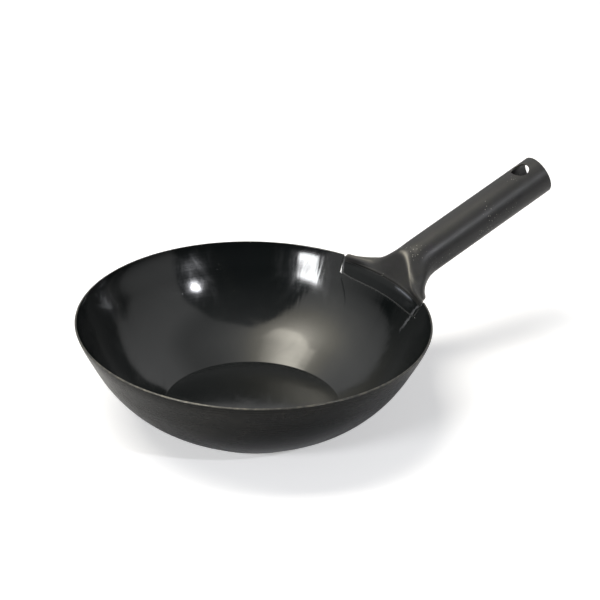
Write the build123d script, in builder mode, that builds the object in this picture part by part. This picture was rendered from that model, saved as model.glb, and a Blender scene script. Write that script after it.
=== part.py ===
from build123d import *
import os
from math import asin, atan2, cos, pi, radians, sin, sqrt, tan

# One-handed wok of carbon steel with a flat bottom: a pressed bowl, a handle rolled from one
# sheet blank, and the welds that join them. Lengths are in millimetres. The origin is the centre
# of the underside, +Z is up and the handle points along +X.

# Bowl, by its outer face
rim_radius = 150.0
rim_height = 84.5
base_radius = 76.8
knee_inset = 26.5
knee_height = 30.0
wall_bend = 119.0
base_bend = 2.4
bowl_sheet = 1.6
rim_rounding = 0.4

# Handle: a tube whose seam stays open along the underside
tube_radius = 17.75
handle_sheet = 1.6
handle_angle = radians(19.4)
axis_drop = 0.7
handle_length = 173.0
neck_length = 36.0
seam_gap = 0.8
bore_length = 130.0
bore_truing = 0.05
hanging_hole_radius = 8.2
hanging_hole_from_end = 18.0

# Root of the handle, where the tube opens out, rolls over a ridge and runs down into the wall
root_half_width = 54.0
ridge_overhang = 8.0
corner_setback = 1.34
corner_rise = 2.9
wing_rise = 1.2
shoulder_rise = 16.8
shoulder_share = 0.56
fold_drop = 4.5
root_drop = 15.5
root_corner_rise = 2.5
root_corner_inset_share = 0.03
ridge_bend = 5.0
fold_bend = 2.0
flare_lead_centre = 12.0
flare_lead_edge = 14.0
flare_drop = 7.0
flare_swell_share = 0.06
flare_pinch_share = 0.15
neck_lead_centre = 16.0
neck_lead_edge = 14.0

# Welds: one along the root, dressed flush inside the bowl, and a bead at each corner of the rim
weld_gap = 1.6
weld_crown = 0.8
weld_clearance = 0.15
corner_bead_radius = 2.6
corner_bead_length = 9.0
corner_bead_drop = 1.5

# How finely the blank is sampled, and how far cutters run past what they cut
stations_along = 27
stations_across = 33
bend_samples = 6
cutter_overrun = 5.0

os.makedirs("parts", exist_ok=True)


def mix(start, end, share):
    """What lies a share of the way from start to end."""
    return start + (end - start) * share


def cubic(points, share):
    """A point on the cubic curve that four control points make."""
    first, second, third, last = points
    rest = 1 - share
    return (
        first * rest**3
        + second * (3 * share * rest**2)
        + third * (3 * share**2 * rest)
        + last * share**3
    )


def rounded_corner(corner, before, after, bend):
    """Points on a parabolic arc that rounds a corner, from the side of before to that of after."""
    start = corner + (before - corner).normalized() * bend
    end = corner + (after - corner).normalized() * bend
    shares = [i / (bend_samples - 1) for i in range(bend_samples)]
    return [mix(mix(start, corner, share), mix(corner, end, share), share) for share in shares]


def even_points(points, count):
    """Points at even distances along a polyline, both of its ends among them."""
    runs = [(end - start).length for start, end in zip(points[:-1], points[1:])]
    step = sum(runs) / (count - 1)
    result = [points[0]]
    passed = 0.0
    for start, end, run in zip(points[:-1], points[1:], runs):
        while len(result) < count - 1 and step * len(result) <= passed + run:
            result.append(mix(start, end, (step * len(result) - passed) / run))
        passed += run
    result.append(points[-1])
    return result


# Places that follow from the rim
knee_radius = rim_radius - knee_inset
axis_height_at_rim = rim_height - axis_drop
ridge_reach = rim_radius + ridge_overhang
corner_reach = sqrt(rim_radius**2 - root_half_width**2) - corner_setback
corner_height = rim_height + corner_rise
fold_height = rim_height - fold_drop
root_height = rim_height - root_drop

# The upper wall of the bowl is a cone, and the root of the handle continues its inner face.
wall_angle = atan2(rim_height - knee_height, rim_radius - knee_radius)
wall_across = bowl_sheet / sin(wall_angle)


def inner_wall(azimuth, height):
    """A point on the inner face of the upper wall."""
    radius = rim_radius - (rim_height - height) / tan(wall_angle) - wall_across
    return Vector(radius * cos(azimuth), radius * sin(azimuth), height)


# The tube's own directions
tube_axis = Vector(cos(handle_angle), 0, sin(handle_angle))
tube_up = Vector(-sin(handle_angle), 0, cos(handle_angle))
across = Vector(0, 1, 0)
tube_foot = Vector(rim_radius, 0, axis_height_at_rim)


def tube_point(along, turn):
    """A point on the outside of the tube, its turn measured from the top line."""
    return tube_foot + tube_axis * along + (tube_up * cos(turn) + across * sin(turn)) * tube_radius


def blank_controls(side):
    """Control points of one lengthwise line of the blank, from the root edge to the tube.

    side runs from -1 to 1, from one edge of the blank to the other.
    """
    away = abs(side)
    shoulder = cos(pi / 2 * away / shoulder_share) ** 2 if away < shoulder_share else 0
    ridge = Vector(
        mix(corner_reach, ridge_reach, cos(pi / 2 * away) ** 2),
        root_half_width * side,
        corner_height + wing_rise * (1 - away**2) + shoulder_rise * shoulder,
    )
    azimuth = atan2(ridge.Y, ridge.X)
    fold = inner_wall(azimuth, fold_height)
    root = inner_wall(
        azimuth * (1 - root_corner_inset_share * away**2),
        root_height + root_corner_rise * away**6,
    )
    rising = handle_angle * (1 - away)
    flare_lead = mix(flare_lead_centre, flare_lead_edge, away)
    flare = Vector(
        ridge.X + flare_lead * cos(rising),
        ridge.Y * (1 + flare_swell_share * sin(pi * away) - flare_pinch_share * away**3),
        ridge.Z + flare_lead * sin(rising) - flare_drop * away**2,
    )
    tube_start = tube_point(neck_length, pi * side)
    neck = tube_start - tube_axis * mix(neck_lead_centre, neck_lead_edge, away)
    return root, fold, ridge, flare, neck, tube_start


def blank_line(side):
    """Even points on the outer skin along one lengthwise line, a little past the tube's start."""
    root, fold, ridge, flare, neck, tube_start = blank_controls(side)
    over_ridge = rounded_corner(ridge, fold, flare, ridge_bend)
    shares = [(i + 1) / (2 * bend_samples) for i in range(2 * bend_samples)]
    points = [root] + rounded_corner(fold, root, ridge, fold_bend) + over_ridge
    points += [cubic((over_ridge[-1], flare, neck, tube_start), share) for share in shares]
    points.append(tube_start + tube_axis * cutter_overrun)
    return even_points(points, stations_along)


# Outer skin of the neck: a surface through the crosswise lines of the blank
edge_side = 1 - seam_gap / (2 * pi * tube_radius)
side_shares = [i / (stations_across - 1) for i in range(stations_across)]
blank_lines = [blank_line(edge_side * (2 * share - 1)) for share in side_shares]
cross_lines = [
    Wire([Edge.make_spline([line[station] for line in blank_lines], parameters=side_shares)])
    for station in range(stations_along)
]
neck_skin = Shell.make_loft(cross_lines).faces()[0]

# Handle: the neck is thickened and cut square, its end is drawn out into the tube, and the bore is
# trued to a plain round
tube_plane = Plane(tube_foot + tube_axis * neck_length, x_dir=across, z_dir=tube_axis)
bore_plane = tube_plane.offset(handle_length - neck_length - bore_length)
hole_plane = Plane(
    tube_foot + tube_axis * (handle_length - hanging_hole_from_end), x_dir=tube_axis, z_dir=tube_up
)
with BuildPart() as handle:
    thicken(neck_skin, amount=handle_sheet, normal_override=(0, 0, -1))
    split(bisect_by=tube_plane, keep=Keep.BOTTOM)
    square_faces = handle.faces().filter_by(GeomType.PLANE)
    tube_end = square_faces.sort_by(Axis((0, 0, 0), tube_axis))[-1]
    extrude(tube_end, amount=handle_length - neck_length)
    with BuildSketch(bore_plane):
        Circle(tube_radius - handle_sheet + bore_truing)
    extrude(amount=bore_length + cutter_overrun, mode=Mode.SUBTRACT)
    with BuildSketch(hole_plane):
        Circle(hanging_hole_radius)
    extrude(amount=tube_radius + cutter_overrun, mode=Mode.SUBTRACT)

# Outline of the root as seen along the handle, and the notch in the wall that it is let into
root_points = [(line[0].Y, line[0].Z) for line in blank_lines]
_, left_fold, left_corner, _, _, _ = blank_controls(edge_side)
_, right_fold, right_corner, _, _, _ = blank_controls(-edge_side)
with BuildSketch(Plane.YZ) as root_outline:
    with BuildLine():
        root_curve = Spline(*root_points)
        Polyline(
            root_curve @ 1,
            (left_fold.Y, left_fold.Z),
            (left_corner.Y, left_corner.Z),
            (right_corner.Y, right_corner.Z),
            (right_fold.Y, right_fold.Z),
            root_curve @ 0,
        )
    make_face()


def grown_outline(growth):
    """The outline of the root, made larger all round by growth."""
    with BuildSketch() as grown:
        add(root_outline.sketch_local)
        offset(amount=growth)
    return grown.sketch_local


def wall_patch(top, outer_growth, inner_growth=None):
    """The wall's inner face, up to the height top, within the root's outline grown by outer_growth.

    With inner_growth it is only the border outside the outline grown by that.
    """
    foot = inner_wall(0, knee_height)
    head = inner_wall(0, top)
    with BuildPart() as patch:
        with BuildSketch(Plane.YZ):
            add(grown_outline(outer_growth))
            if inner_growth is not None:
                add(grown_outline(inner_growth), mode=Mode.SUBTRACT)
        extrude(amount=rim_radius + cutter_overrun)
        with BuildSketch(Plane.XZ):
            Polygon(
                (0, foot.Z),
                (foot.X, foot.Z),
                (head.X, head.Z),
                (0, head.Z),
                align=None,
            )
        revolve(axis=Axis.Z, mode=Mode.INTERSECT)
    return patch.faces().filter_by(GeomType.CONE)[0]


# Bowl
with BuildPart() as bowl:
    with BuildSketch(Plane.XZ):
        with BuildLine():
            outside = FilletPolyline(
                (0, 0),
                (base_radius, 0),
                (knee_radius, knee_height),
                (rim_radius, rim_height),
                radius=[base_bend, wall_bend],
            )
            offset(outside, amount=bowl_sheet, side=Side.LEFT)
        make_face()
    revolve(axis=Axis.Z)
    fillet(bowl.edges().group_by(Axis.Z)[-1], rim_rounding)
    notch = wall_patch(corner_height + cutter_overrun, weld_gap)
    thicken(notch, amount=cutter_overrun, both=True, mode=Mode.SUBTRACT)

# Root weld: fills the gap between the notch and the root, flush inside and crowned outside, and is
# cut back where the corners of the root reach into it
with BuildPart() as root_weld:
    thicken(
        wall_patch(fold_height, weld_gap, weld_clearance),
        amount=bowl_sheet + weld_crown,
        normal_override=(1, 0, 0),
    )
    add(handle.part, mode=Mode.SUBTRACT)


def corner_bead(hand):
    """A weld bead down the joint at one corner of the rim, cut to fit what it joins."""
    gap_middle = root_half_width + weld_gap / 2
    middle_radius = rim_radius - wall_across / 2
    azimuth = hand * asin(gap_middle / middle_radius)
    down_wall = Vector(
        -cos(azimuth) * cos(wall_angle), -sin(azimuth) * cos(wall_angle), -sin(wall_angle)
    )
    top = Vector(middle_radius * cos(azimuth), middle_radius * sin(azimuth), rim_height)
    bead_plane = Plane(
        top + down_wall * corner_bead_drop,
        x_dir=down_wall,
        z_dir=Vector(-sin(azimuth), cos(azimuth), 0),
    )
    with BuildPart() as bead:
        with BuildSketch(bead_plane):
            SlotOverall(corner_bead_length, 2 * corner_bead_radius)
            Rectangle(
                corner_bead_length,
                corner_bead_radius,
                align=(Align.CENTER, Align.MIN),
                mode=Mode.INTERSECT,
            )
        revolve(axis=Axis(bead_plane.origin, down_wall))
        add(bowl.part, mode=Mode.SUBTRACT)
        add(handle.part, mode=Mode.SUBTRACT)
        add(root_weld.part, mode=Mode.SUBTRACT)
    return bead


corner_weld_left = corner_bead(1)
corner_weld_right = corner_bead(-1)

pieces = {
    "bowl": bowl,
    "handle": handle,
    "root_weld": root_weld,
    "corner_weld_left": corner_weld_left,
    "corner_weld_right": corner_weld_right,
}
for name, piece in pieces.items():
    piece.part.label = name
    export_step(piece.part, f"parts/{name}.step")
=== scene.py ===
import math

import bpy
import numpy as np
from mathutils import Matrix, Quaternion, Vector


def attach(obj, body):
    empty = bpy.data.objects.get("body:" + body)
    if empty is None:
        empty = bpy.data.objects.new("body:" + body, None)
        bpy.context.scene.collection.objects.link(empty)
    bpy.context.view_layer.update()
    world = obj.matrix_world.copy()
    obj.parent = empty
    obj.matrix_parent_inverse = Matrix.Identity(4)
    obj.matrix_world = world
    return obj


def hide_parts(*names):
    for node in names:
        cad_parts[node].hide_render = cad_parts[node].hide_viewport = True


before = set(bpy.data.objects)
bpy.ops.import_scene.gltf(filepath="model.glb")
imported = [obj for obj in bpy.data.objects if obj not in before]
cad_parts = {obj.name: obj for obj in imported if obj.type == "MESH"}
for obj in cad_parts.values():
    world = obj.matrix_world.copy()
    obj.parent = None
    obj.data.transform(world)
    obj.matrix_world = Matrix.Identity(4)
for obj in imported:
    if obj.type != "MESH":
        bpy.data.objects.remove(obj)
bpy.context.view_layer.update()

# Sizes in millimetres, as in the CAD source
RIM_RADIUS, RIM_HEIGHT, BASE_RADIUS = 150.0, 84.5, 76.8
KNEE_RADIUS, KNEE_HEIGHT, WALL_BEND, BASE_BEND = 123.5, 30.0, 119.0, 2.4
SHEET = 1.6
TUBE_RADIUS, HANDLE_ANGLE, AXIS_HEIGHT = 17.75, math.radians(19.4), 83.8
HANDLE_LENGTH, NECK_LENGTH, SEAM_GAP = 173.0, 36.0, 0.8
HOLE_RADIUS, HOLE_FROM_END = 8.2, 18.0
ROOT_HALF_WIDTH, RIDGE_REACH, CORNER_REACH, CORNER_HEIGHT = 54.0, 158.0, 138.6, 87.4
WING_RISE, SHOULDER_RISE, SHOULDER_SHARE = 1.2, 16.8, 0.56
FOLD_HEIGHT, ROOT_HEIGHT = 80.0, 69.0
ROOT_CORNER_RISE, ROOT_CORNER_INSET = 2.5, 0.03
RIDGE_BEND, FOLD_BEND = 5.0, 2.0
FLARE_LEAD = (12.0, 14.0)
FLARE_DROP, FLARE_SWELL, FLARE_PINCH = 7.0, 0.06, 0.15
NECK_LEAD = (16.0, 14.0)
WELD_GAP = 1.6
NOTCH_AZIMUTH, NOTCH_CORNER_DROP = math.radians(22.0), 2.6
JOINT_RADIUS = RIM_RADIUS - 5.0
RIM_ROUNDING, RIM_EDGE, TUBE_END_ROUNDING, HOLE_ROUNDING = 0.42, 0.45, 0.45, 0.3

# The wall's flattened place round the root: its half width in degrees at five heights, and the
# heights between which it fades
PRESS_DEPTH = 1.1
PRESS_HEIGHTS, PRESS_AZIMUTHS = (49, 58.9, 68.5, 76.3, 83.3), (15.7, 18.0, 19.6, 20.6, 21.0)
PRESS_FOOT, PRESS_FOOT_FADE, PRESS_TOP, PRESS_TOP_FADE = 44, 24, 82, 6

# The wall's swell under the rim: how far it bulges, how far down it reaches, the factor that
# brings its curve to a height of 1, and the azimuths in degrees between which it starts
LIP_SWELL, LIP_REACH, LIP_CURVE_SCALE = 0.72, 44.0, 12.2
LIP_AZIMUTH, LIP_AZIMUTH_FADE = 24, 8
WALL_BAND = 8

# Counts of points along and round the dense meshes
BOWL_COLUMNS, FLOOR_POINTS, BASE_BEND_POINTS, LOW_POINTS, WALL_BEND_POINTS = 720, 26, 7, 14, 60
SHARED_POINTS, ABOVE_POINTS, ROUNDING_POINTS = 10, 24, 5
HANDLE_COLUMNS, ROOT_POINTS, FOLD_POINTS, RISE_POINTS, RIDGE_POINTS, NECK_POINTS = 193, 12, 9, 14, 15, 61
TUBE_ROWS, HOLE_BLOCK_ROWS, HOLE_RINGS, TUBE_END_POINTS = 41, 24, 8, 6
TONGUE_ROWS = 15
JOINT_SIDES, JOINT_POINTS, CORNER_POINTS, BEAD_SIDES = 97, 260, 15, 20

# The block of the handle's mesh that is remade round the hole: half its length, and half its turn
HOLE_BLOCK, HOLE_BLOCK_TURN = 13.0, 0.92

# The beads' unevenness, the power that makes their section squarer than an oval, and how far they
# stop under the rim
BEAD_RIPPLE, BEAD_SQUARENESS, BEAD_STOP = 0.04, 0.5, 0.4

# Material numbers in the bowl's mesh and in the handle's
INSIDE, OUTSIDE, RIM = 0, 1, 2
SKIN, BACK, CUT, TONGUE = 0, 1, 2, 3
MM = 0.001

# Light levels, and how far the screens stand from the object in metres
FLOOR_LIFT, WORLD_LIGHT = 0.40, 0.12
ROOM_DISTANCE, CORE_DISTANCE, DARK_DISTANCE = 4.2, 3.9, 3.4

WALL_ANGLE = math.atan2(RIM_HEIGHT - KNEE_HEIGHT, RIM_RADIUS - KNEE_RADIUS)
LOW_ANGLE = math.atan2(KNEE_HEIGHT, KNEE_RADIUS - BASE_RADIUS)
WALL_ACROSS = SHEET / math.sin(WALL_ANGLE)
TUBE_AXIS = np.array([math.cos(HANDLE_ANGLE), 0.0, math.sin(HANDLE_ANGLE)])
TUBE_UP = np.array([-math.sin(HANDLE_ANGLE), 0.0, math.cos(HANDLE_ANGLE)])
ACROSS = np.array([0.0, 1.0, 0.0])
TUBE_FOOT = np.array([RIM_RADIUS, 0.0, AXIS_HEIGHT])
EDGE_SIDE = 1 - SEAM_GAP / (2 * math.pi * TUBE_RADIUS)


def mix(a, b, t):
    return a + (b - a) * t


def unit(v):
    return v / np.linalg.norm(v, axis=-1, keepdims=True)


def mesh_object(name, points, faces, materials, face_material=None, sharp=35):
    """A mesh in the shared frame from points in millimetres."""
    mesh = bpy.data.meshes.new(name)
    mesh.from_pydata((np.asarray(points) * MM).tolist(), [], faces)
    for material in materials:
        mesh.materials.append(material)
    if face_material is not None:
        mesh.polygons.foreach_set("material_index", face_material)
    mesh.validate()
    mesh.update()
    mesh.shade_smooth()
    mesh.set_sharp_from_angle(angle=math.radians(sharp))
    obj = bpy.data.objects.new(name, mesh)
    bpy.context.scene.collection.objects.link(obj)
    return obj


def grid_faces(rows, columns):
    """Quads of a grid whose points run row by row."""
    faces = []
    for i in range(rows - 1):
        for j in range(columns - 1):
            a = i * columns + j
            faces.append((a, a + 1, a + columns + 1, a + columns))
    return faces


def pressed(points):
    """The points moved with the wall: it bulges under the rim and is flattened round the root."""
    p = np.array(points, float)
    radius = np.hypot(p[:, 0], p[:, 1])
    azimuth = np.degrees(np.arctan2(p[:, 1], p[:, 0]))
    height = p[:, 2]
    cone_radius = RIM_RADIUS - (RIM_HEIGHT - height) / math.tan(WALL_ANGLE)
    near_wall = np.abs(radius - cone_radius) < WALL_BAND
    share = np.clip(1 - np.abs(azimuth) / np.interp(height, PRESS_HEIGHTS, PRESS_AZIMUTHS), 0, 1)
    depth = PRESS_DEPTH * (1 - (1 - share) ** 2)
    depth *= np.clip((height - PRESS_FOOT) / PRESS_FOOT_FADE, 0, 1) ** 1.5
    depth *= np.clip((PRESS_TOP - height) / PRESS_TOP_FADE, 0, 1) ** 0.5
    below = np.clip((RIM_HEIGHT - height) / LIP_REACH, 0, 1)
    swell = LIP_SWELL * below * (1 - below) ** 4 * LIP_CURVE_SCALE
    swell *= np.clip((np.abs(azimuth) - LIP_AZIMUTH) / LIP_AZIMUTH_FADE, 0, 1)
    move = (swell - depth) * near_wall
    p[:, 0] += move * p[:, 0] / np.maximum(radius, 1)
    p[:, 1] += move * p[:, 1] / np.maximum(radius, 1)
    return p


def bowl_profile():
    """Outer points with their normals' directions, up to the straight wall, and that wall's foot."""
    t = WALL_BEND * math.tan((WALL_ANGLE - LOW_ANGLE) / 2)
    low = np.array([KNEE_RADIUS - t * math.cos(LOW_ANGLE), KNEE_HEIGHT - t * math.sin(LOW_ANGLE)])
    high = np.array([KNEE_RADIUS + t * math.cos(WALL_ANGLE), KNEE_HEIGHT + t * math.sin(WALL_ANGLE)])
    centre = low + WALL_BEND * np.array([-math.sin(LOW_ANGLE), math.cos(LOW_ANGLE)])
    b = BASE_BEND * math.tan(LOW_ANGLE / 2)
    base_end = np.array([BASE_RADIUS - b, 0.0])
    base_centre = base_end + np.array([0.0, BASE_BEND])
    out = [(r, 0.0, -math.pi / 2) for r in np.linspace(0, BASE_RADIUS - b, FLOOR_POINTS)[1:]]
    for a in np.linspace(0, LOW_ANGLE, BASE_BEND_POINTS)[1:]:
        p = base_centre + BASE_BEND * np.array([math.sin(a), -math.cos(a)])
        out.append((p[0], p[1], a - math.pi / 2))
    foot = np.array(out[-1][:2])
    for s in np.linspace(0, 1, LOW_POINTS)[1:]:
        p = mix(foot, low, s)
        out.append((p[0], p[1], LOW_ANGLE - math.pi / 2))
    for a in np.linspace(LOW_ANGLE, WALL_ANGLE, WALL_BEND_POINTS)[1:]:
        p = centre + WALL_BEND * np.array([math.sin(a), -math.cos(a)])
        out.append((p[0], p[1], a - math.pi / 2))
    return np.array(out), high


def bowl_mesh(materials):
    """The bowl with its rim and notch; materials are those of its inside, its outside and its rim."""
    profile, high = bowl_profile()
    normals = np.stack([np.cos(profile[:, 2]), np.sin(profile[:, 2])], axis=1)
    outer_low = profile[:, :2]
    inner_low = outer_low - normals * SHEET
    count = BOWL_COLUMNS
    step = 2 * math.pi / count
    sector = int(round(NOTCH_AZIMUTH / step))
    azimuths = np.arange(count) * step
    in_notch = np.array([min(j, count - j) < sector for j in range(count)])
    n_wall = np.array([math.cos(WALL_ANGLE - math.pi / 2), math.sin(WALL_ANGLE - math.pi / 2)])
    up_wall = np.array([math.cos(WALL_ANGLE), math.sin(WALL_ANGLE)])
    run_all = (RIM_HEIGHT - high[1]) / math.sin(WALL_ANGLE)
    notch_low = ROOT_HEIGHT - WELD_GAP
    run_notch = (notch_low + NOTCH_CORNER_DROP - high[1]) / math.sin(WALL_ANGLE)
    shared = np.linspace(0, run_notch, SHARED_POINTS)[1:]
    above = np.linspace(run_notch, run_all - RIM_EDGE, ABOVE_POINTS)[1:]
    points = [(0.0, 0.0, 0.0), (0.0, 0.0, SHEET)]
    faces, kinds = [], []

    def ring(values, which=None):
        """Points of one row, from radius and height at each azimuth; returns their numbers."""
        numbers = []
        for j in range(count):
            if which is not None and not which[j]:
                numbers.append(None)
                continue
            r, z = values(j)
            points.append((r * math.cos(azimuths[j]), r * math.sin(azimuths[j]), z))
            numbers.append(len(points) - 1)
        return numbers

    def band(a, b, kind, flip):
        for j in range(count):
            k = (j + 1) % count
            quad = (a[j], a[k], b[k], b[j])
            if None in quad:
                continue
            faces.append(quad[::-1] if flip else quad)
            kinds.append(kind)

    def notch_drop(j):
        """How far under the top shared row the notch's edge lies at this azimuth."""
        side = min(j, count - j) / sector
        return NOTCH_CORNER_DROP * (1 - min(1, side) ** 6)

    sides = []
    for low_rows, kind, inset in ((outer_low, OUTSIDE, 0.0), (inner_low, INSIDE, SHEET)):
        flip = kind == INSIDE
        rows = [ring(lambda j, p=p: (p[0], p[1])) for p in low_rows]
        base = high - n_wall * inset
        for n, s in enumerate(shared):
            def value(j, s=s, n=n):
                run = s
                if in_notch[j]:
                    run = s - notch_drop(j) / math.sin(WALL_ANGLE) * ((n + 1) / len(shared))
                p = base + up_wall * run
                return p[0], p[1]
            rows.append(ring(value))
        for s in above:
            def value(j, s=s):
                p = base + up_wall * s
                return p[0], p[1]
            rows.append(ring(value, ~in_notch))
        for j in range(count):
            k = (j + 1) % count
            tri = (1 if flip else 0, rows[0][k], rows[0][j])
            faces.append(tri[::-1] if flip else tri)
            kinds.append(kind)
        for a, b in zip(rows[:-1], rows[1:]):
            band(a, b, kind, flip)
        sides.append(rows)
    # Rim: the cut edge with its rounded corners
    top = high + up_wall * run_all
    rim_rows = [sides[0][-1]]
    for inset, start in ((RIM_ROUNDING, 0.0), (SHEET - RIM_ROUNDING, math.pi / 2)):
        for turn in np.linspace(start, start + math.pi / 2, ROUNDING_POINTS):
            out = RIM_ROUNDING * math.cos(turn) - inset
            p = top + n_wall * out + up_wall * RIM_ROUNDING * (math.sin(turn) - 1)
            rim_rows.append(ring(lambda j, p=p: (p[0], p[1]), ~in_notch))
    rim_rows.append(sides[1][-1])
    for a, b in zip(rim_rows[:-1], rim_rows[1:]):
        band(a, b, RIM, False)
    # Edges of the notch
    last = len(outer_low) + len(shared) - 1
    for j in list(range(sector)) + list(range(count - sector, count)):
        k = (j + 1) % count
        faces.append((sides[0][last][j], sides[0][last][k], sides[1][last][k], sides[1][last][j]))
        kinds.append(OUTSIDE)
    for j, turn in ((sector, False), (count - sector, True)):
        outer_side = [sides[0][i][j] for i in range(last, len(sides[0]))]
        inner_side = [sides[1][i][j] for i in range(last, len(sides[1]))]
        for i in range(len(outer_side) - 1):
            quad = (outer_side[i], outer_side[i + 1], inner_side[i + 1], inner_side[i])
            faces.append(quad if turn else quad[::-1])
            kinds.append(OUTSIDE)
        cap = [row[j] for row in rim_rows]
        faces.append(tuple(cap) if turn else tuple(cap[::-1]))
        kinds.append(OUTSIDE)
    return mesh_object("bowl_shell", pressed(points), faces, materials, kinds, sharp=40)


# Handle: the sheet blank, by the same lines as the CAD part
def inner_wall(azimuth, height):
    radius = RIM_RADIUS - (RIM_HEIGHT - height) / math.tan(WALL_ANGLE) - WALL_ACROSS
    return np.array([radius * math.cos(azimuth), radius * math.sin(azimuth), height])


def tube_normal(turn):
    return TUBE_UP * math.cos(turn) + ACROSS * math.sin(turn)


def tube_point(along, turn, radius=TUBE_RADIUS):
    return TUBE_FOOT + TUBE_AXIS * along + tube_normal(turn) * radius


def rounded_corner(corner, before, after, bend, count):
    """Points of a curve that leaves out a corner, from bend before it to bend after it."""
    start = corner + unit(before - corner) * bend
    end = corner + unit(after - corner) * bend
    return [mix(mix(start, corner, t), mix(corner, end, t), t) for t in np.linspace(0, 1, count)]


def blank_line(side):
    """Dense points on the outer skin, root first, up to the tube's start."""
    away = abs(side)
    shoulder = math.cos(math.pi / 2 * min(1, away / SHOULDER_SHARE)) ** 2
    ridge = np.array([
        mix(CORNER_REACH, RIDGE_REACH, math.cos(math.pi / 2 * away) ** 2),
        ROOT_HALF_WIDTH * side,
        CORNER_HEIGHT + WING_RISE * (1 - away**2) + SHOULDER_RISE * shoulder,
    ])
    azimuth = math.atan2(ridge[1], ridge[0])
    fold = inner_wall(azimuth, FOLD_HEIGHT)
    root_azimuth = azimuth * (1 - ROOT_CORNER_INSET * away**2)
    root = inner_wall(root_azimuth, ROOT_HEIGHT + ROOT_CORNER_RISE * away**6)
    rising = HANDLE_ANGLE * (1 - away)
    lead = mix(*FLARE_LEAD, away)
    flare = np.array([
        ridge[0] + lead * math.cos(rising),
        ridge[1] * (1 + FLARE_SWELL * math.sin(math.pi * away) - FLARE_PINCH * away**3),
        ridge[2] + lead * math.sin(rising) - FLARE_DROP * away**2,
    ])
    start = tube_point(NECK_LENGTH, math.pi * side)
    neck = start - TUBE_AXIS * mix(*NECK_LEAD, away)
    over = rounded_corner(ridge, fold, flare, RIDGE_BEND, RIDGE_POINTS)
    bend = rounded_corner(fold, root, ridge, FOLD_BEND, FOLD_POINTS)
    lead_in = [mix(root, bend[0], t) for t in np.linspace(0, 1, ROOT_POINTS)[:-1]]
    rise = [mix(bend[-1], over[0], t) for t in np.linspace(0, 1, RISE_POINTS)[1:-1]]
    points = lead_in + bend + rise + over
    a, b, c, d = over[-1], flare, neck, start
    for t in np.linspace(0, 1, NECK_POINTS)[1:]:
        s = 1 - t
        points.append(a * s**3 + b * (3 * t * s * s) + c * (3 * t * t * s) + d * t**3)
    return np.array(points)


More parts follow.
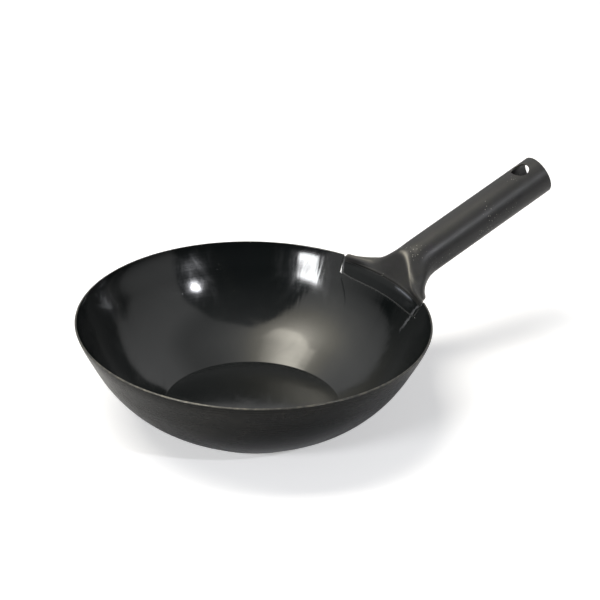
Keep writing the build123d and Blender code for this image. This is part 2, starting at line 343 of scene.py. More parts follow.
def handle_mesh(materials):
    """The handle; materials are those of its skin, its back, its cut edges and its tongue."""
    columns = HANDLE_COLUMNS
    sides = EDGE_SIDE * np.linspace(-1, 1, columns)
    neck = np.stack([blank_line(s) for s in sides], axis=1)
    hole_at = HANDLE_LENGTH - HOLE_FROM_END
    alongs = list(np.linspace(NECK_LENGTH, hole_at - HOLE_BLOCK, TUBE_ROWS + 1)[1:])
    alongs += list(np.linspace(hole_at - HOLE_BLOCK, hole_at + HOLE_BLOCK, HOLE_BLOCK_ROWS + 1)[1:])
    tube_end = HANDLE_LENGTH - TUBE_END_ROUNDING
    alongs += list(np.linspace(hole_at + HOLE_BLOCK, tube_end, TUBE_END_POINTS)[1:])
    tube = np.array([[tube_point(x, math.pi * s) for s in sides] for x in alongs])
    outer = np.concatenate([neck, tube])
    across_step = np.gradient(outer, axis=1)
    along_step = np.gradient(outer, axis=0)
    normal = unit(np.cross(across_step, along_step))
    middle = normal[neck.shape[0] + 5, columns // 2]
    if np.dot(middle, TUBE_UP) < 0:
        normal = -normal
    normal[neck.shape[0]:] = np.array([tube_normal(math.pi * s) for s in sides])
    inner = outer - normal * SHEET
    rows = outer.shape[0]
    size = rows * columns
    points = [*outer.reshape(-1, 3), *inner.reshape(-1, 3)]
    faces, kinds = [], []

    # The block of the grid around the hole is left out and filled with rings
    r0 = neck.shape[0] - 1 + TUBE_ROWS
    r1 = r0 + HOLE_BLOCK_ROWS
    c_half = int(np.searchsorted(sides * math.pi, HOLE_BLOCK_TURN)) - columns // 2
    c0, c1 = columns // 2 - c_half, columns // 2 + c_half
    for skin in (SKIN, BACK):
        for i in range(rows - 1):
            for j in range(columns - 1):
                if r0 <= i < r1 and c0 <= j < c1:
                    continue
                k = skin * size + i * columns + j
                quad = (k, k + 1, k + columns + 1, k + columns)
                faces.append(quad if skin == SKIN else quad[::-1])
                kinds.append(TONGUE if skin == SKIN and i < TONGUE_ROWS else skin)
    border = [(r0, j) for j in range(c0, c1)] + [(i, c1) for i in range(r0, r1)]
    border += [(r1, j) for j in range(c1, c0, -1)] + [(i, c0) for i in range(r1, r0, -1)]
    circles = []
    edge = HOLE_ROUNDING
    for skin, radius in ((SKIN, TUBE_RADIUS), (BACK, TUBE_RADIUS - SHEET)):
        rings = [[skin * size + i * columns + j for i, j in border]]
        flat = []
        for i, j in border:
            x = alongs[i - neck.shape[0]] if i >= neck.shape[0] else NECK_LENGTH
            flat.append((x - hole_at, math.pi * sides[j]))
        for share in np.linspace(0, 1, HOLE_RINGS + 1)[1:]:
            ring = []
            for x, turn in flat:
                angle = math.atan2(turn * TUBE_RADIUS, x)
                cx = (HOLE_RADIUS + edge) * math.cos(angle)
                ct = math.asin((HOLE_RADIUS + edge) * math.sin(angle) / radius)
                points.append(tube_point(hole_at + mix(x, cx, share), mix(turn, ct, share), radius))
                ring.append(len(points) - 1)
            rings.append(ring)
        for a, b in zip(rings[:-1], rings[1:]):
            for n in range(len(a)):
                m = (n + 1) % len(a)
                quad = (a[n], a[m], b[m], b[n])
                faces.append(quad if skin == SKIN else quad[::-1])
                kinds.append(skin)
        circles.append((rings[-1], flat))
    # The hole's wall, with slightly rounded corners
    wall = [circles[0][0]]
    for radius, sink, back in (
        (TUBE_RADIUS, -0.1, 0.72), (TUBE_RADIUS, -0.3, 0.0),
        (TUBE_RADIUS - SHEET, 0.3, 0.0), (TUBE_RADIUS - SHEET, 0.1, 0.72),
    ):
        ring = []
        r = HOLE_RADIUS + edge * back
        for x, turn in circles[0][1]:
            angle = math.atan2(turn * TUBE_RADIUS, x)
            base = TUBE_FOOT + TUBE_AXIS * (hole_at + r * math.cos(angle)) + ACROSS * r * math.sin(angle)
            points.append(base + TUBE_UP * (math.sqrt(radius**2 - (r * math.sin(angle)) ** 2) + sink))
            ring.append(len(points) - 1)
        wall.append(ring)
    wall.append(circles[1][0])
    for a, b in zip(wall[:-1], wall[1:]):
        for n in range(len(a)):
            m = (n + 1) % len(a)
            faces.append((a[n], a[m], b[m], b[n]))
            kinds.append(CUT)
    # The open end of the tube, with rounded corners
    end_rows = [[(rows - 1) * columns + j for j in range(columns)]]
    rounding = TUBE_END_ROUNDING
    for corner, start in ((TUBE_RADIUS - rounding, 0.0), (TUBE_RADIUS - SHEET + rounding, math.pi / 2)):
        for turn in np.linspace(start, start + math.pi / 2, ROUNDING_POINTS):
            radius = corner + rounding * math.cos(turn)
            x = HANDLE_LENGTH - rounding + rounding * math.sin(turn)
            row = []
            for s in sides:
                points.append(tube_point(x, math.pi * s, radius))
                row.append(len(points) - 1)
            end_rows.append(row)
    end_rows.append([size + (rows - 1) * columns + j for j in range(columns)])
    for a, b in zip(end_rows[:-1], end_rows[1:]):
        for j in range(columns - 1):
            faces.append((a[j], a[j + 1], b[j + 1], b[j]))
            kinds.append(CUT)
    # The cut edges along the seam and at the root
    for j, turn in ((0, False), (columns - 1, True)):
        for i in range(rows - 1):
            a, b = i * columns + j, (i + 1) * columns + j
            quad = (a, b, b + size, a + size)
            faces.append(quad if turn else quad[::-1])
            kinds.append(CUT)
        cap = [row[j] for row in end_rows]
        faces.append(tuple(cap) if turn else tuple(cap[::-1]))
        kinds.append(CUT)
    for j in range(columns - 1):
        faces.append((j, j + 1, j + 1 + size, j + size)[::-1])
        kinds.append(CUT)
    obj = mesh_object("handle_sheet", pressed(points), faces, materials, kinds, sharp=50)
    row, side = np.meshgrid(np.arange(rows), sides, indexing="ij")
    for name, values in wear_marks(row, side).items():
        layer = obj.data.attributes.new(name, "FLOAT", "POINT")
        field = np.zeros(len(points))
        field[:size] = values.reshape(-1)
        layer.data.foreach_set("value", field)
    return obj


def wear_marks(row, side):
    """Marks of the neck, by row along the blank and share across it: a painted highlight along the
    ridge, a painted highlight patch on the tongue, painted shade along the fold and a painted warm
    reflection on the far side.
    """
    def near(centre, width):
        return np.exp(-((row - centre) / width) ** 2)

    ridge_row = np.interp(side, [-0.6, -0.35, -0.05], [35.2, 36.6, 39.5])
    ridge_width = np.interp(side, [-0.6, -0.4, -0.05], [0.9, 1.3, 2.4])
    # Painted highlight: a pale line along the top of the ridge
    ridge_highlight_share = np.interp(
        side, [-0.95, -0.6, -0.42, -0.3, -0.05, 0.04, 0.1], [0.0, 0.25, 0.4, 1.0, 1.0, 0.5, 0.0]
    )
    # Painted highlight: a pale patch on the tongue just under the fold
    painted_glint = np.interp(side, [-0.74, -0.6, -0.3, -0.16], [0.0, 1.0, 0.9, 0.0])
    # Painted shade: a dark band along the fold
    fold_shade = np.interp(side, [-0.9, -0.7, -0.1, 0.75, 0.95], [0.2, 0.5, 0.8, 1.0, 0.3])
    # Painted reflection: a warm pale sheen on the far side of the neck
    painted_wing_reflection = np.interp(side, [0.3, 0.8, 1.0], [0.0, 0.8, 1.0])
    return {
        "ridge": ridge_highlight_share * near(ridge_row, ridge_width),
        "painted_glint": painted_glint * near(12.6, 1.5),
        "fold_shade": fold_shade * near(17.0, 1.6),
        "painted_wing_reflection": painted_wing_reflection * near(46.0, 6.0),
    }


# Shader helpers
class Shader:
    """A material's node tree with short ways to add the nodes this scene uses."""

    def __init__(self, name, **values):
        self.material = bpy.data.materials.new(name)
        self.material.use_nodes = True
        self.tree = self.material.node_tree
        self.tree.nodes.clear()
        out = self.tree.nodes.new("ShaderNodeOutputMaterial")
        self.main = self.tree.nodes.new("ShaderNodeBsdfPrincipled")
        self.tree.links.new(self.main.outputs["BSDF"], out.inputs["Surface"])
        self.coords = self.tree.nodes.new("ShaderNodeTexCoord").outputs["Object"]
        for key, value in values.items():
            self.main.inputs[key.replace("_", " ")].default_value = value

    def put(self, socket, value):
        """Links a socket into another, or sets its value."""
        if isinstance(value, bpy.types.NodeSocket):
            self.tree.links.new(value, socket)
        else:
            socket.default_value = value

    def set(self, name, value):
        self.put(self.main.inputs[name], value)

    def math(self, kind, a, b=0.0):
        node = self.tree.nodes.new("ShaderNodeMath")
        node.operation = kind
        self.put(node.inputs[0], a)
        self.put(node.inputs[1], b)
        return node.outputs[0]

    def times(self, a, b):
        return self.math("MULTIPLY", a, b)

    def plus(self, a, b):
        return self.math("ADD", a, b)

    def minus(self, a, b):
        return self.math("SUBTRACT", a, b)

    def reach(self, x, y):
        """Distance from the origin of a point with these two parts."""
        return self.math("SQRT", self.plus(self.times(x, x), self.times(y, y)))

    def noise(self, scale, detail=4.0, roughness=0.55, distortion=0.0, vector=None):
        """Noise from 0 to 1, at this many features to the metre."""
        node = self.tree.nodes.new("ShaderNodeTexNoise")
        node.inputs["Scale"].default_value = scale
        node.inputs["Detail"].default_value = detail
        node.inputs["Roughness"].default_value = roughness
        node.inputs["Distortion"].default_value = distortion
        self.put(node.inputs["Vector"], vector or self.coords)
        return node.outputs["Fac"]

    def cells(self, scale):
        """Distance to the nearest of scattered points."""
        node = self.tree.nodes.new("ShaderNodeTexVoronoi")
        node.feature = "F1"
        node.inputs["Scale"].default_value = scale
        self.put(node.inputs["Vector"], self.coords)
        return node.outputs["Distance"]

    def moved(self, offset=(0, 0, 0), scale=(1, 1, 1), turn=(0, 0, 0), vector=None):
        """The object's coordinates shifted, turned and scaled."""
        node = self.tree.nodes.new("ShaderNodeMapping")
        node.inputs["Location"].default_value = offset
        node.inputs["Rotation"].default_value = turn
        node.inputs["Scale"].default_value = scale
        self.put(node.inputs["Vector"], vector or self.coords)
        return node.outputs[0]

    def ramp(self, value, low, high, to_low=0.0, to_high=1.0):
        """The value carried from one range to another and held at its ends."""
        node = self.tree.nodes.new("ShaderNodeMapRange")
        self.put(node.inputs["Value"], value)
        node.inputs["From Min"].default_value = low
        node.inputs["From Max"].default_value = high
        node.inputs["To Min"].default_value = to_low
        node.inputs["To Max"].default_value = to_high
        return node.outputs["Result"]

    def colour(self, share, low, high):
        """A mix of two colours, each a triple or a socket."""
        node = self.tree.nodes.new("ShaderNodeMix")
        node.data_type = "RGBA"
        self.put(node.inputs["Factor"], share)
        self.put(node.inputs[6], low if isinstance(low, bpy.types.NodeSocket) else (*low, 1))
        self.put(node.inputs[7], high if isinstance(high, bpy.types.NodeSocket) else (*high, 1))
        return node.outputs[2]

    def parts(self):
        node = self.tree.nodes.new("ShaderNodeSeparateXYZ")
        self.put(node.inputs[0], self.coords)
        return node.outputs

    def joined(self, x, y, z):
        node = self.tree.nodes.new("ShaderNodeCombineXYZ")
        for socket, value in zip(node.inputs, (x, y, z)):
            self.put(socket, value)
        return node.outputs[0]

    def mark(self, name):
        """A value that the mesh carries at its points."""
        node = self.tree.nodes.new("ShaderNodeAttribute")
        node.attribute_name = name
        return node.outputs["Fac"]

    def bump(self, height, strength, distance, below=None):
        node = self.tree.nodes.new("ShaderNodeBump")
        node.inputs["Strength"].default_value = strength
        node.inputs["Distance"].default_value = distance
        self.put(node.inputs["Height"], height)
        if below is not None:
            self.put(node.inputs["Normal"], below)
        return node.outputs[0]


def turned_marks(shader, scale):
    """Noise drawn out in circles about the bowl's axis, as left by pressing and polishing."""
    x, y, z = shader.parts()
    wander = shader.times(shader.noise(9.0, 2.0), 0.004)
    return shader.noise(1.0, 3.0, 0.6, vector=shader.joined(
        shader.times(shader.plus(shader.reach(x, y), wander), scale),
        shader.times(z, scale),
        shader.noise(3.0, 1.0),
    ))


def crease(shader, heights, azimuths, wander, width):
    """One thin line down the wall, from heights in metres and azimuths in degrees at its two ends."""
    x, y, z = shader.parts()
    azimuth = shader.times(shader.math("ARCTAN2", y, x), 180 / math.pi)
    line = shader.ramp(z, *heights, *azimuths)
    sideways = shader.times(shader.minus(shader.noise(260.0, 3.0), 0.5), wander)
    off = shader.plus(shader.minus(azimuth, line), sideways)
    thin = shader.ramp(shader.math("ABSOLUTE", off), width, width * 0.25)
    foot = shader.ramp(z, heights[0] - 0.004, heights[0] + 0.006)
    head = shader.ramp(z, heights[1] + 0.002, heights[1] - 0.001)
    return shader.times(thin, shader.times(foot, head))


def bowl_inside(name, shine=0.5):
    """The dark, glossy finish of the bowl's inside, also worn by the handle's tongue."""
    s = Shader(name, IOR=1.5)
    cloud = s.noise(14.0, 5.0, 0.6, 0.8)
    smear = s.noise(30.0, 4.0, 0.6, 2.0, s.moved(scale=(1.0, 1.0, 0.35)))
    marks = turned_marks(s, 900.0)
    grime = s.ramp(cloud, 0.45, 0.75)
    pits = s.ramp(s.cells(420.0), 0.16, 0.04)
    few = s.times(pits, s.ramp(s.noise(60.0, 2.0), 0.62, 0.7))
    right_crease_and_highlight = crease(s, (0.0552, 0.0798), (-17.4, -19.9), 2.2, 0.75)
    left_crease_and_shade = crease(s, (0.0492, 0.0660), (15.7, 20.4), 0.8, 0.5)
    base = s.colour(grime, (0.0034, 0.0046, 0.0048), (0.0062, 0.0074, 0.0072))
    base = s.colour(s.times(few, 0.6), base, (0.06, 0.055, 0.045))
    # Painted highlight: a grey line along the right crease
    base = s.colour(s.times(right_crease_and_highlight, 0.8), base, (0.105, 0.108, 0.115))
    # Painted highlight: a pale blue-grey patch on the tongue under the fold
    base = s.colour(s.times(s.mark("painted_glint"), 0.85), base, (0.155, 0.165, 0.19))
    s.set("Base Color", base)
    rough = s.plus(s.ramp(cloud, 0.3, 0.7, 0.085, 0.13), s.ramp(smear, 0.5, 0.72, 0.0, 0.08))
    s.set("Roughness", s.plus(rough, s.ramp(marks, 0.4, 0.7, 0.0, 0.03)))
    # Painted shade: the left crease reflects less, a faint dark line
    s.set("Specular IOR Level", s.minus(shine, s.times(left_crease_and_shade, 0.3)))
    x, y, z = s.parts()
    turn = s.math("ARCTAN2", y, x)
    folds = s.noise(1.0, 3.0, 0.6, vector=s.joined(s.times(turn, 9.0), s.times(z, 9.0), 0.0))
    by_root = s.times(s.ramp(s.math("ABSOLUTE", turn), 1.1, 0.35), s.ramp(z, 0.02, 0.05))
    wrinkles = s.bump(s.times(folds, by_root), 0.09, 0.004)
    lumps = s.bump(s.noise(26.0, 2.0, 0.5), 0.05, 0.004, wrinkles)
    lines = s.bump(s.plus(s.times(left_crease_and_shade, 0.3), right_crease_and_highlight), 0.5, 0.0003, lumps)
    fine = s.bump(marks, 0.04, 0.0003, lines)
    s.set("Normal", s.bump(few, 0.2, 0.0002, fine))
    return s.material


def bowl_outside():
    """The duller outside, with turned marks and a few pale specks."""
    s = Shader("bowl_outside", IOR=1.5, Specular_IOR_Level=0.1)
    cloud = s.noise(16.0, 5.0, 0.62, 0.6)
    marks = turned_marks(s, 700.0)
    patch = s.ramp(s.noise(40.0, 4.0, 0.65, 1.2), 0.5, 0.68)
    groups = s.ramp(s.noise(90.0, 2.0), 0.58, 0.68)
    specks = s.times(s.ramp(s.cells(520.0), 0.2, 0.05), groups)
    base = s.colour(s.ramp(cloud, 0.35, 0.7), (0.0060, 0.0066, 0.0062), (0.0110, 0.0110, 0.0098))
    base = s.colour(s.times(patch, 0.5), base, (0.022, 0.020, 0.0165))
    base = s.colour(s.times(specks, 0.5), base, (0.10, 0.095, 0.08))
    s.set("Base Color", base)
    rough = s.ramp(cloud, 0.3, 0.7, 0.2, 0.28)
    s.set("Roughness", s.plus(rough, s.ramp(marks, 0.35, 0.7, 0.0, 0.06)))
    lumps = s.bump(s.noise(120.0, 3.0, 0.6), 0.12, 0.0008)
    s.set("Normal", s.bump(marks, 0.08, 0.0003, lumps))
    return s.material


def rim_edge():
    """The bowl's cut rim, with bare metal where the finish has worn off."""
    s = Shader("rim_edge", IOR=1.5)
    wear = s.ramp(s.noise(160.0, 5.0, 0.65), 0.42, 0.62)
    s.set("Base Color", s.colour(wear, (0.018, 0.018, 0.016), (0.11, 0.105, 0.09)))
    s.set("Metallic", s.ramp(wear, 0.0, 1.0, 0.0, 0.7))
    s.set("Roughness", s.ramp(wear, 0.0, 1.0, 0.3, 0.38))
    s.set("Normal", s.bump(s.noise(900.0, 3.0), 0.15, 0.0002))
    return s.material


def handle_steel(name, dark=1.0):
    """The handle's drawn, browned steel, with painted shade along the fold, a pale painted highlight
    along the ridge, a pale painted reflection on the far side of the neck and groups of specks. dark
    below 1 gives a darker copy, which on the handle's back is painted shade.
    """
    s = Shader(name, IOR=1.5)

    def shade(*levels):
        return [level * dark for level in levels]

    along = s.moved(turn=(0, HANDLE_ANGLE, 0))
    drawn = s.noise(1.0, 4.0, 0.6, vector=s.moved(scale=(60.0, 900.0, 900.0), vector=along))
    cloud = s.noise(28.0, 6.0, 0.62, 0.8)
    hue = s.noise(55.0, 3.0, 0.5, 1.5, s.moved((0.3, 0.1, 0.7)))
    cool, warm = shade(0.010, 0.0100, 0.0105), shade(0.018, 0.0177, 0.0170)
    base = s.colour(s.ramp(cloud, 0.32, 0.7), cool, warm)
    base = s.colour(s.ramp(hue, 0.56, 0.74, 0.0, 0.55), base, shade(0.020, 0.0165, 0.022))
    base = s.colour(s.ramp(hue, 0.42, 0.26, 0.0, 0.55), base, shade(0.019, 0.019, 0.0135))
    # Painted shade: almost black along the fold
    base = s.colour(s.times(s.mark("fold_shade"), 0.85), base, (0.006, 0.006, 0.006))
    # Painted reflection: warm pale beige on the far side of the neck
    base = s.colour(s.times(s.mark("painted_wing_reflection"), 0.7), base, (0.15, 0.14, 0.112))
    # Painted highlight: a pale line along the ridge
    ridge_highlight = s.times(s.mark("ridge"), s.ramp(s.noise(120.0, 3.0), 0.25, 0.5, 0.75, 1.0))
    base = s.colour(s.times(ridge_highlight, 0.8), base, (0.24, 0.225, 0.19))
    groups = s.ramp(s.noise(34.0, 3.0, 0.55), 0.56, 0.66)
    specks = s.times(s.ramp(s.cells(430.0), 0.2, 0.09), groups)
    base = s.colour(s.times(specks, 0.75), base, (0.36, 0.35, 0.31))
    s.set("Base Color", base)
    # Painted shade: the fold reflects little
    s.set("Specular IOR Level", s.times(s.minus(1.0, s.mark("fold_shade")), 0.42))
    rough = s.ramp(cloud, 0.3, 0.7, 0.35, 0.41)
    s.set("Roughness", s.plus(rough, s.ramp(drawn, 0.35, 0.7, -0.02, 0.05)))
    lumps = s.bump(s.noise(60.0, 3.0, 0.55), 0.1, 0.002)
    fine = s.bump(drawn, 0.08, 0.0002, lumps)
    s.set("Normal", s.bump(specks, 0.3, 0.0001, fine))
    return s.material


def cut_edge():
    """The handle's cut edges, partly bare metal."""
    s = Shader("cut_edge", IOR=1.5)
    wear = s.ramp(s.noise(240.0, 5.0, 0.65), 0.4, 0.65)
    s.set("Base Color", s.colour(wear, (0.03, 0.029, 0.027), (0.16, 0.15, 0.13)))
    s.set("Metallic", s.ramp(wear, 0.0, 1.0, 0.0, 0.75))
    s.set("Roughness", s.ramp(wear, 0.0, 1.0, 0.42, 0.34))
    s.set("Normal", s.bump(s.noise(1200.0, 3.0), 0.2, 0.0002))
    return s.material


def weld_metal(name, worn=1.0):
    """Rippled weld metal; worn is the share of its bright spots and gloss."""
    s = Shader(name, IOR=1.5)
    ripple = s.noise(420.0, 3.0, 0.6)
    groups = s.ramp(s.noise(90.0, 2.0), 0.5, 0.62)
    spots = s.times(s.ramp(s.noise(700.0, 4.0, 0.7), 0.60, 0.68), groups)
    cloud = s.ramp(s.noise(90.0, 4.0), 0.35, 0.7)
    base = s.colour(cloud, (0.008, 0.0095, 0.0095), (0.020, 0.0205, 0.020))
    s.set("Base Color", s.colour(s.times(spots, 0.7 * worn), base, (0.30, 0.29, 0.26)))
    s.set("Metallic", s.ramp(spots, 0.0, 1.0, 0.0, 0.5 * worn))
    s.set("Roughness", s.ramp(ripple, 0.3, 0.7, 0.34 - 0.18 * worn, 0.5 - 0.16 * worn))
    s.set("Normal", s.bump(ripple, 0.35, 0.0004))
    return s.material


# Welds: a low bead along the whole joint and a short, thicker one at each corner of the rim
def on_wall(azimuth, run, depth):
    """A point at an azimuth and a distance up the wall's slope, depth outside the inner face."""
    height = run * math.sin(WALL_ANGLE)
    radius = RIM_RADIUS - (RIM_HEIGHT - height) / math.tan(WALL_ANGLE) - WALL_ACROSS
    radius += depth * math.sin(WALL_ANGLE)
    height -= depth * math.cos(WALL_ANGLE)
    return np.array([radius * math.cos(azimuth), radius * math.sin(azimuth), height])


def bead_mesh(name, path, widths, depths, material, seed):
    """A bead along points of azimuth and run, oval across, with uneven ripples."""
    rng = np.random.default_rng(seed)
    path = np.array(path)
    count, around = len(path), BEAD_SIDES
    reach = JOINT_RADIUS
    ahead = np.gradient(path * [reach, 1.0], axis=0)
    side = unit(np.stack([ahead[:, 1], -ahead[:, 0]], axis=1)) / [reach, 1.0]
    ripple = 1 + BEAD_RIPPLE * rng.standard_normal(count)
    ripple = np.convolve(np.pad(ripple, 2, mode="edge"), [0.15, 0.2, 0.3, 0.2, 0.15], mode="valid")
    points, faces = [], []
    for n in range(count):
        for k in range(around):
            turn = 2 * math.pi * k / around
            c, v = math.cos(turn), math.sin(turn)
            across = widths[n] * ripple[n] * math.copysign(abs(c) ** BEAD_SQUARENESS, c)
            depth = SHEET / 2 + depths[n] * ripple[n] * math.copysign(abs(v) ** BEAD_SQUARENESS, v)
            azimuth, run = path[n] + side[n] * across
            points.append(on_wall(azimuth, run, depth))
    for n in range(count - 1):
        for k in range(around):
            m = (k + 1) % around
            faces.append((n * around + k, n * around + m, (n + 1) * around + m, (n + 1) * around + k))
    faces.append(tuple(range(around))[::-1])
    faces.append(tuple((count - 1) * around + k for k in range(around)))
    return mesh_object(name, pressed(points), faces, [material], sharp=60)


def joint_path():
    """The middle of the joint as azimuth and run, from the rim at one side round to the other."""
    top = (RIM_HEIGHT - BEAD_STOP) / math.sin(WALL_ANGLE)
    lines = [blank_line(s) for s in EDGE_SIDE * np.linspace(1, -1, JOINT_SIDES)]
    edge_rows = TONGUE_ROWS + 1
    border = [*lines[0][:edge_rows][::-1], *[line[0] for line in lines[1:-1]], *lines[-1][:edge_rows]]
    flat = [(math.atan2(p[1], p[0]), p[2] / math.sin(WALL_ANGLE)) for p in border]
    flat = [(flat[0][0], top)] + flat + [(flat[-1][0], top)]
    path = np.array(flat)
    reach = JOINT_RADIUS
    steps = np.hypot(np.diff(path[:, 0]) * reach, np.diff(path[:, 1]))
    run = np.concatenate([[0], np.cumsum(steps)])
    even = np.linspace(0, run[-1], JOINT_POINTS)
    path = np.stack([np.interp(even, run, path[:, 0]), np.interp(even, run, path[:, 1])], axis=1)
    ahead = np.gradient(path * [reach, 1.0], axis=0)
    side = unit(np.stack([ahead[:, 1], -ahead[:, 0]], axis=1))
    for _ in range(2):
        side[1:-1] = (side[:-2] + side[1:-1] * 2 + side[2:]) / 4
    return path - side * [1 / reach, 1.0] * WELD_GAP / 2


bowl = bowl_mesh([bowl_inside("bowl_inside"), bowl_outside(), rim_edge()])
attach(bowl, "root")
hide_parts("bowl")

# Painted shade: the back, inside the tube and under the neck, is a darker copy of the steel
skin, back = handle_steel("handle_skin"), handle_steel("handle_back_shaded", 0.8)
handle = handle_mesh([skin, back, cut_edge(), bowl_inside("tongue_skin", 0.3)])
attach(handle, "root")
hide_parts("handle")

weld_steel, joint_steel = weld_metal("weld_metal"), weld_metal("joint_metal", 0.2)
joint = joint_path()
even = np.ones(len(joint))
seam = bead_mesh("joint_bead", joint, 1.15 * even, 0.81 * even, joint_steel, 3)
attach(seam, "root")
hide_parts("root_weld")
for node, end, width, height, steel in (
    ("corner_weld_left", joint[:CORNER_POINTS], 1.3, 0.95, joint_steel),
    ("corner_weld_right", joint[::-1][:CORNER_POINTS], 1.9, 1.35, weld_steel),
):
    taper = np.sqrt(np.clip(1 - np.linspace(-0.55, 1, len(end)) ** 2, 0.04, 1))
    bead = bead_mesh(node + "_bead", end, width * taper, height * taper, steel, len(node))
    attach(bead, "root")
    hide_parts(node)


# Stage: a pale floor, three lamps and three screens that stand for the room
def stage_mesh(name, points, faces):
    """A mesh of the stage from points in metres."""
    mesh = bpy.data.meshes.new(name)
    mesh.from_pydata(points, [], faces)
    obj = bpy.data.objects.new(name, mesh)
    bpy.context.scene.collection.objects.link(obj)
    return obj


def direction(azimuth, elevation):
    """The unit vector to an azimuth from +X and an elevation, both in degrees."""
    a, e = math.radians(azimuth), math.radians(elevation)
    return Vector((math.cos(e) * math.cos(a), math.cos(e) * math.sin(a), math.sin(e)))


floor = stage_mesh("floor", [(-6, -6, 0), (6, -6, 0), (6, 6, 0), (-6, 6, 0)], [(0, 1, 2, 3)])
s = Shader("floor", Roughness=0.9)
seen = s.tree.nodes.new("ShaderNodeLightPath")
near_white = s.colour(s.noise(3.0, 2.0), (0.90, 0.90, 0.905), (0.92, 0.92, 0.925))
s.set("Base Color", s.colour(seen.outputs["Is Diffuse Ray"], near_white, (0.25, 0.25, 0.25)))
x, y, z = s.parts()
# Painted shadow: to reflections the floor's glow fades out near the object
glossy_lift_with_painted_shadow = s.times(seen.outputs["Is Glossy Ray"], s.ramp(s.reach(x, y), 0.12, 1.2, 0.0, 0.4))
lift = s.times(s.math("MAXIMUM", seen.outputs["Is Camera Ray"], glossy_lift_with_painted_shadow), FLOOR_LIFT)
s.set("Emission Color", (1, 1, 1, 1))
s.set("Emission Strength", lift)
floor.data.materials.append(s.material)


def lamp(name, place, size, radiance, colour, shape="RECTANGLE", roll=0.0):
    """An area lamp aimed at the object, from its azimuth, elevation and distance."""
    azimuth, elevation, distance = place
    data = bpy.data.lights.new(name, "AREA")
    data.shape = shape
    data.size, data.size_y = size
    area = size[0] * size[1] * (math.pi / 4 if shape == "ELLIPSE" else 1)
    data.energy = radiance * math.pi * area
    data.color = colour
    obj = bpy.data.objects.new(name, data)
    bpy.context.scene.collection.objects.link(obj)
    aim = Vector((0, 0, 0.06))
    obj.location = aim + direction(azimuth, elevation) * distance
    turn = (aim - obj.location).to_track_quat("-Z", "Y")
    obj.rotation_mode = "QUATERNION"
    obj.rotation_quaternion = turn @ Quaternion((0, 0, 1), math.radians(roll))
    return obj


overhead = lamp("overhead", (150, 69, 2.2), (0.9, 1.5), 9.6, (1.0, 0.968, 0.90))
overhead.visible_glossy = False
lamp("side_box", (-166, 25, 2.4), (0.66, 0.34), 36.0, (0.97, 0.98, 1.0))
lamp("front_spot", (-78, 32.3, 3.3), (0.13, 0.27), 340.0, (0.94, 0.95, 1.0), "ELLIPSE", 40)

# Three screens that only reflections show: the room with the bright patch of its ceiling that lights
# the object, the core of that patch with its edge, and the unlit side past the lamps
def screen(name, distance, elevations, left, right, levels, patch=None):
    """A piece of a sphere about the object, from its left and right azimuths at some elevations.

    levels are pairs of an elevation and the glow there. patch is a soft spot: its azimuth, its
    elevation, its spread in degrees, its glow and its colour.
    """
    rows, columns = 40, 60
    points = []
    for e in np.linspace(elevations[0], elevations[-1], rows):
        a0, a1 = np.interp(e, elevations, left), np.interp(e, elevations, right)
        points += [tuple(direction(a, e) * distance) for a in np.linspace(a0, a1, columns)]
    obj = stage_mesh(name, points, grid_faces(rows, columns))
    s = Shader(name, Roughness=0.9, Specular_IOR_Level=0.0)
    s.set("Base Color", (0, 0, 0, 1))
    s.set("Emission Color", (1, 1, 1, 1))
    x, y, z = s.parts()
    glow = levels[0][1]
    heights = [distance * math.sin(math.radians(e)) for e, _ in levels]
    for n in range(len(levels) - 1):
        step = s.ramp(z, heights[n], heights[n + 1], 0.0, levels[n + 1][1] - levels[n][1])
        glow = s.plus(step, glow)
    if patch is not None:
        azimuth, elevation, spread, peak, colour = patch
        centre = direction(azimuth, elevation)
        parts = [s.times(part, c / distance) for part, c in zip((x, y, z), centre)]
        near = s.plus(s.plus(parts[0], parts[1]), parts[2])
        angle = s.math("ARCCOSINE", s.math("MINIMUM", near, 0.99999))
        fall = s.math("POWER", s.times(angle, 1 / math.radians(spread)), 1.35)
        bright = s.times(s.math("EXPONENT", s.times(fall, -1.0)), peak)
        s.set("Emission Color", s.colour(s.ramp(bright, 0.0, 1.5), (1, 1, 1), colour))
        glow = s.plus(glow, bright)
    s.set("Emission Strength", glow)
    obj.data.materials.append(s.material)
    obj.visible_camera = False
    obj.visible_diffuse = False
    obj.visible_shadow = False


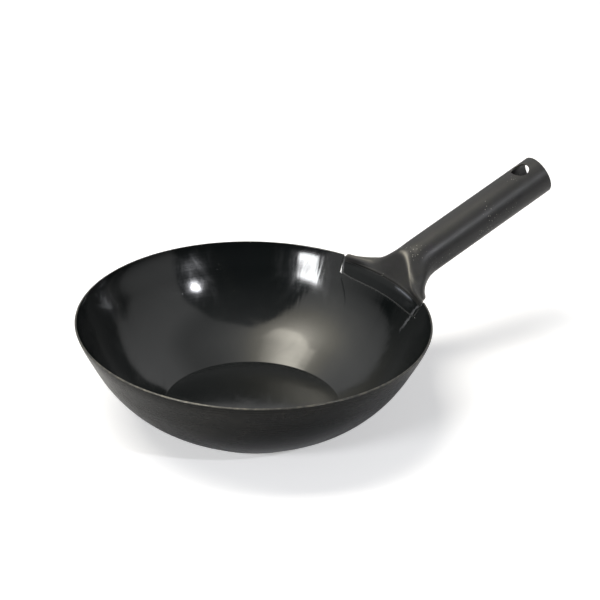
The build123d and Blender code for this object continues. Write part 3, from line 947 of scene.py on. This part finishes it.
CEILING_PATCH = (152, 68, 15.0, 8.0, (1.0, 0.955, 0.83))
screen(
    "dark_side", DARK_DISTANCE,
    [3, 20, 27, 38, 51, 62, 71, 75],
    [-178, -177, -173, -168, -165, -159, -145, -122],
    [-70, -70, -66, -65, -69, -74, -93, -112],
    [(20, 0.03), (34, 0.07), (56, 0.22), (68, 0.36), (76, 0.6)],
)
screen(
    "room", ROOM_DISTANCE, [-3, 89.5], [-180, -180], [180, 180],
    [(2, 0.06), (9, 0.35), (16, 0.6), (30, 0.85), (45, 1.0), (58, 0.65), (76, 0.75)],
    CEILING_PATCH,
)
screen(
    "ceiling_core", CORE_DISTANCE,
    [60, 62, 64, 65, 67, 69, 71, 85],
    [121, 117, 113, 112, 111, 110, 110, 110],
    [122, 124, 126, 158, 172, 181, 190, 200],
    [(61, 5.8), (68, 5.6), (75, 4.4), (82, 1.9), (85, 1.4)],
    CEILING_PATCH,
)

# World: white to the camera and to reflections, and a weak fill light otherwise
world = bpy.data.worlds.new("world")
bpy.context.scene.world = world
world.use_nodes = True
tree = world.node_tree
background = tree.nodes["Background"]
path = tree.nodes.new("ShaderNodeLightPath")
first = tree.nodes.new("ShaderNodeMath")
first.operation = "MAXIMUM"
tree.links.new(path.outputs["Is Camera Ray"], first.inputs[0])
tree.links.new(path.outputs["Is Glossy Ray"], first.inputs[1])
second = tree.nodes.new("ShaderNodeMath")
second.operation = "MAXIMUM"
tree.links.new(first.outputs[0], second.inputs[0])
tree.links.new(path.outputs["Is Transmission Ray"], second.inputs[1])
level = tree.nodes.new("ShaderNodeMapRange")
level.inputs["To Min"].default_value = WORLD_LIGHT
level.inputs["To Max"].default_value = 1.0
tree.links.new(second.outputs[0], level.inputs["Value"])
tree.links.new(level.outputs[0], background.inputs["Strength"])
background.inputs["Color"].default_value = (1, 1, 1, 1)

# Camera, placed where the photograph was taken from
camera_data = bpy.data.cameras.new("camera")
camera_data.lens = 132.0
camera_data.sensor_width = 36.0
camera_data.clip_end = 50
camera = bpy.data.objects.new("camera", camera_data)
bpy.context.scene.collection.objects.link(camera)
bpy.context.scene.camera = camera
place = Vector((-0.958108, -1.318723, 0.949993))
right = Vector((0.80350, -0.59465, 0.02789))
up = Vector((0.25423, 0.38512, 0.88716))
ahead = Vector((0.53829, 0.70575, -0.46062))
camera.matrix_world = Matrix((
    (right.x, up.x, -ahead.x, place.x),
    (right.y, up.y, -ahead.y, place.y),
    (right.z, up.z, -ahead.z, place.z),
    (0, 0, 0, 1),
))

bpy.context.scene.view_settings.view_transform = "Standard"
